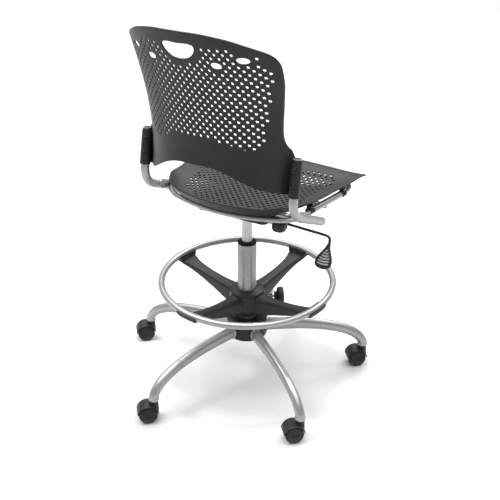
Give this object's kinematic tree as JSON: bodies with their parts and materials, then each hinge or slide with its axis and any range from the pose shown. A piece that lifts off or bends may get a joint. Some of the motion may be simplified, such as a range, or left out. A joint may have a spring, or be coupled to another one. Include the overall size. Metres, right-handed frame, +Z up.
{
  "type": "drafting chair",
  "caption": "Drafting chair: perforated shell seat and back on a tubular frame, gas-lift column with height-adjustable foot ring, star base on twin-wheel casters.",
  "frame": {"origin": "middle of the chair's plan outline, on the floor", "axes": "+Z up, +Y towards the back of the chair, +X to the sitter's left"},
  "size_m": [0.6686, 0.6938, 1.0537],
  "materials": {
    "silver_paint": "silver powder coat, satin",
    "black_plastic": "moulded black plastic, fine grain",
    "wheel_plastic": "black nylon",
    "polished_steel": "ground steel",
    "dark_steel": "black paint on steel",
    "grey_grip": "charcoal plastic with ribbed face"
  },
  "bodies": {
    "base": {"base_hub": "black_plastic", "leg_1": "silver_paint", "leg_2": "silver_paint", "leg_3": "silver_paint", "leg_4": "silver_paint", "leg_5": "silver_paint", "column_tube": "silver_paint", "column_bush": "black_plastic"},
    "caster_1": {"caster_hood_1": "black_plastic"},
    "wheel_1a": {"caster_wheel_1a": "wheel_plastic"},
    "wheel_1b": {"caster_wheel_1b": "wheel_plastic"},
    "caster_2": {"caster_hood_2": "black_plastic"},
    "wheel_2a": {"caster_wheel_2a": "wheel_plastic"},
    "wheel_2b": {"caster_wheel_2b": "wheel_plastic"},
    "caster_3": {"caster_hood_3": "black_plastic"},
    "wheel_3a": {"caster_wheel_3a": "wheel_plastic"},
    "wheel_3b": {"caster_wheel_3b": "wheel_plastic"},
    "caster_4": {"caster_hood_4": "black_plastic"},
    "wheel_4a": {"caster_wheel_4a": "wheel_plastic"},
    "wheel_4b": {"caster_wheel_4b": "wheel_plastic"},
    "caster_5": {"caster_hood_5": "black_plastic"},
    "wheel_5a": {"caster_wheel_5a": "wheel_plastic"},
    "wheel_5b": {"caster_wheel_5b": "wheel_plastic"},
    "lift": {"gas_piston": "polished_steel"},
    "button": {"release_button": "dark_steel"},
    "lever": {"lever_rod": "dark_steel", "lever_paddle": "grey_grip"},
    "tension": {"tension_bolt": "polished_steel", "tension_knob": "black_plastic"},
    "footrest": {"footring": "silver_paint", "footring_spider": "black_plastic"},
    "ring_knob": {"knob_stud": "polished_steel", "footring_knob": "black_plastic"},
    "seat": {"mech_plate": "dark_steel", "mech_housing": "dark_steel", "seat_ring": "silver_paint", "side_sleeve_left": "silver_paint", "gusset_left": "silver_paint", "upright_left": "silver_paint", "end_cap_left": "silver_paint", "seat_clip_rear_left": "black_plastic", "seat_clip_front_left": "black_plastic", "sleeve_screw_upper_left": "polished_steel", "sleeve_screw_lower_left": "polished_steel", "side_sleeve_right": "silver_paint", "gusset_right": "silver_paint", "upright_right": "silver_paint", "end_cap_right": "silver_paint", "seat_clip_rear_right": "black_plastic", "seat_clip_front_right": "black_plastic", "sleeve_screw_upper_right": "polished_steel", "sleeve_screw_lower_right": "polished_steel", "cross_bar_rear": "silver_paint", "cross_bar_front": "silver_paint", "seat_shell": "black_plastic", "back_shell": "black_plastic"}
  },
  "joints": [
    {"name": "caster_swivel_1", "type": "hinge", "parent": "base", "child": "caster_1", "pos_m": [0.28609, -0.01476, 0.062], "axis": [0, 0, 1], "continuous": true},
    {"name": "wheel_spin_1a", "type": "hinge", "parent": "caster_1", "child": "wheel_1a", "pos_m": [0.29923, -0.00397, 0.025], "axis": [-0.6348, 0.7727, 0], "continuous": true},
    {"name": "wheel_spin_1b", "type": "hinge", "parent": "caster_1", "child": "wheel_1b", "pos_m": [0.29923, -0.00397, 0.025], "axis": [-0.6348, 0.7727, 0], "continuous": true},
    {"name": "caster_swivel_2", "type": "hinge", "parent": "base", "child": "caster_2", "pos_m": [0.06425, 0.30206, 0.062], "axis": [0, 0, 1], "continuous": true},
    {"name": "wheel_spin_2a", "type": "hinge", "parent": "caster_2", "child": "wheel_2a", "pos_m": [0.07739, 0.31285, 0.025], "axis": [-0.6348, 0.7727, 0], "continuous": true},
    {"name": "wheel_spin_2b", "type": "hinge", "parent": "caster_2", "child": "wheel_2b", "pos_m": [0.07739, 0.31285, 0.025], "axis": [-0.6348, 0.7727, 0], "continuous": true},
    {"name": "caster_swivel_3", "type": "hinge", "parent": "base", "child": "caster_3", "pos_m": [-0.30561, 0.18898, 0.062], "axis": [0, 0, 1], "continuous": true},
    {"name": "wheel_spin_3a", "type": "hinge", "parent": "caster_3", "child": "wheel_3a", "pos_m": [-0.29248, 0.19977, 0.025], "axis": [-0.6348, 0.7727, 0], "continuous": true},
    {"name": "wheel_spin_3b", "type": "hinge", "parent": "caster_3", "child": "wheel_3b", "pos_m": [-0.29248, 0.19977, 0.025], "axis": [-0.6348, 0.7727, 0], "continuous": true},
    {"name": "caster_swivel_4", "type": "hinge", "parent": "base", "child": "caster_4", "pos_m": [-0.31236, -0.19772, 0.062], "axis": [0, 0, 1], "continuous": true},
    {"name": "wheel_spin_4a", "type": "hinge", "parent": "caster_4", "child": "wheel_4a", "pos_m": [-0.29923, -0.18693, 0.025], "axis": [-0.6348, 0.7727, 0], "continuous": true},
    {"name": "wheel_spin_4b", "type": "hinge", "parent": "caster_4", "child": "wheel_4b", "pos_m": [-0.29923, -0.18693, 0.025], "axis": [-0.6348, 0.7727, 0], "continuous": true},
    {"name": "caster_swivel_5", "type": "hinge", "parent": "base", "child": "caster_5", "pos_m": [0.05333, -0.32364, 0.062], "axis": [0, 0, 1], "continuous": true},
    {"name": "wheel_spin_5a", "type": "hinge", "parent": "caster_5", "child": "wheel_5a", "pos_m": [0.06647, -0.31285, 0.025], "axis": [-0.6348, 0.7727, 0], "continuous": true},
    {"name": "wheel_spin_5b", "type": "hinge", "parent": "caster_5", "child": "wheel_5b", "pos_m": [0.06647, -0.31285, 0.025], "axis": [-0.6348, 0.7727, 0], "continuous": true},
    {"name": "gas_lift", "type": "slide", "parent": "base", "child": "lift", "axis": [0, 0, 1], "range_m": [-0.045, 0.2]},
    {"name": "seat_swivel", "type": "hinge", "parent": "lift", "child": "seat", "pos_m": [-0.04286, -0.00902, 0.49], "axis": [0, 0, 1], "continuous": true},
    {"name": "button_press", "type": "slide", "parent": "lift", "child": "button", "axis": [0, 0, -1], "range_m": [0, 0.0047], "stiffness_N_per_m": 1500},
    {"name": "lever_lift", "type": "hinge", "parent": "seat", "child": "lever", "pos_m": [-0.09486, -0.01832, 0.49], "axis": [0, 1, 0], "range_deg": [0, 5]},
    {"name": "tension_turn", "type": "hinge", "parent": "seat", "child": "tension", "pos_m": [-0.14286, 0.02898, 0.508], "axis": [-1, 0, 0], "continuous": true},
    {"name": "footring_height", "type": "slide", "parent": "base", "child": "footrest", "axis": [0, 0, 1], "range_m": [-0.01, 0.1]},
    {"name": "footring_clamp", "type": "hinge", "parent": "footrest", "child": "ring_knob", "pos_m": [-0.09295, -0.04204, 0.24], "axis": [-0.8348, -0.5505, 0], "continuous": true}
  ],
  "couplings": [
    {"joint": "button_press", "follows": "lever_lift", "m_per_rad": 0.052}
  ]
}
